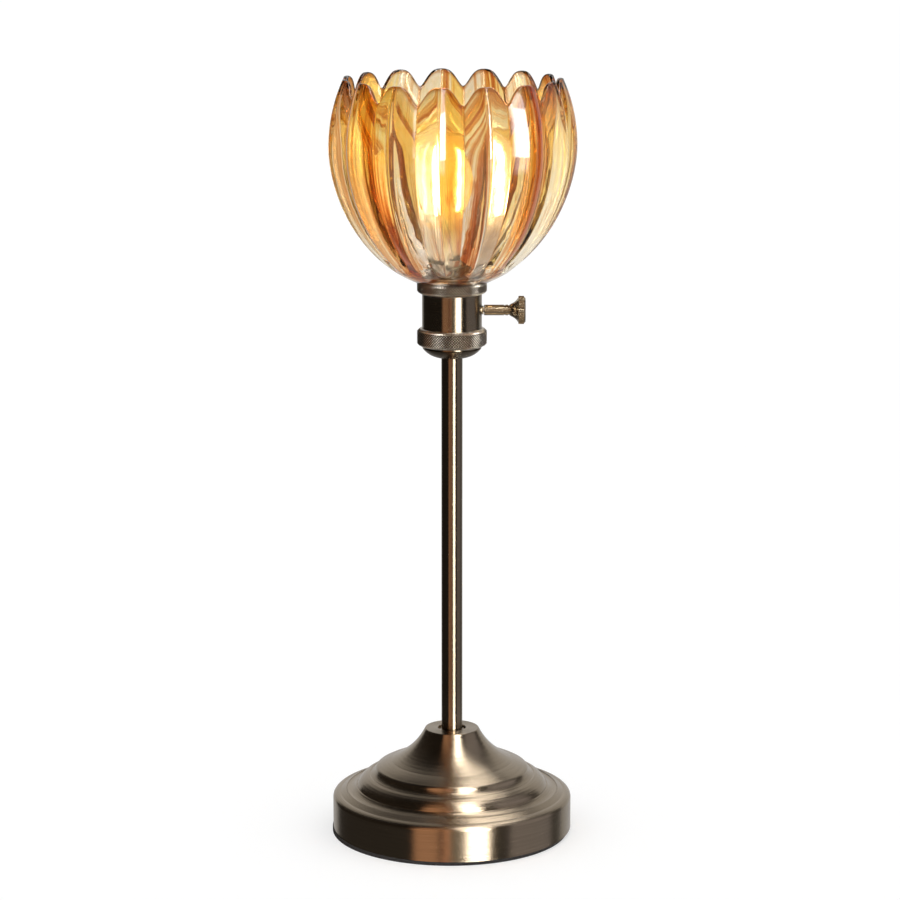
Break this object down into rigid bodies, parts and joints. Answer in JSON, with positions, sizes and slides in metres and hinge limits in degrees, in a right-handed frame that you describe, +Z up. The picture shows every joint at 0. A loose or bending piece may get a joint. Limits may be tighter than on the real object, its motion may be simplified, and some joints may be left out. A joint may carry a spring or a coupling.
{
  "type": "table lamp",
  "caption": "Table lamp with a scalloped amber glass tulip shade on a switched screw-cap holder, a thin stem and a stepped, weighted round base.",
  "frame": {"origin": "centre of the underside of the base, on the surface the lamp stands on", "axes": "+Z up along the stem; +X along the switch knob's axis, out of the holder; +Y towards the cord inlet at the back, so that the front looks to -Y"},
  "size_m": [0.1621, 0.1628, 0.5072],
  "materials": {
    "antique_brass": "antique brass, brushed round the axis, lacquered satin",
    "dark_brass": "dark gunmetal brass, fine diamond knurl",
    "gold_brass": "bright brass, turned",
    "amber_glass": "clear pressed glass streaked with amber, straw and red brown",
    "bulb_glass": "clear blown glass",
    "filament": "lit warm white",
    "nickel": "plated",
    "steel": "zinc plated",
    "iron": "as cast",
    "soft_pad": "black foam felt",
    "black_plastic": "moulded",
    "phenolic": "moulded",
    "rotor_plastic": "moulded",
    "fibre_sleeve": "pressed card",
    "porcelain": "glazed"
  },
  "bodies": {
    "lamp": {"base_pad": "soft_pad", "bottom_plate": "steel", "plate_screws": "steel", "base_weight": "iron", "base_washer": "steel", "base_nut": "steel", "spacer_tube": "steel", "base_shell": "antique_brass", "cord_bush": "black_plastic", "stem_seat": "dark_brass", "stem_tube": "antique_brass", "threaded_tube": "steel", "cap_washer": "steel", "cap_nut": "steel", "socket_cap": "antique_brass", "lower_ring": "dark_brass", "socket_base_plate": "steel", "socket_screws": "steel", "barrel_shell": "antique_brass", "insulating_sleeve": "fibre_sleeve", "socket_body": "porcelain", "terminal_screws": "gold_brass", "centre_contact": "gold_brass", "screw_shell": "gold_brass", "switch_housing": "phenolic", "switch_contacts": "gold_brass", "knob_bush": "gold_brass", "upper_ring": "dark_brass", "glass_shade": "amber_glass", "retaining_ring": "nickel"},
    "knob": {"switch_knob": "gold_brass", "switch_shaft": "steel", "switch_rotor": "rotor_plastic"},
    "bulb": {"bulb_glass": "bulb_glass", "bulb_cap": "nickel", "bulb_insulator": "phenolic", "bulb_contact": "nickel", "bulb_stem": "bulb_glass", "filament_frame": "steel", "bulb_filaments": "filament"}
  },
  "joints": [
    {"name": "knob_turn", "type": "hinge", "parent": "lamp", "child": "knob", "pos_m": [0, 0, 0.3552], "axis": [1, 0, 0], "continuous": true},
    {"name": "bulb_lift", "type": "slide", "parent": "lamp", "child": "bulb", "axis": [0, 0, 1], "range_m": [0, 0.15]}
  ]
}
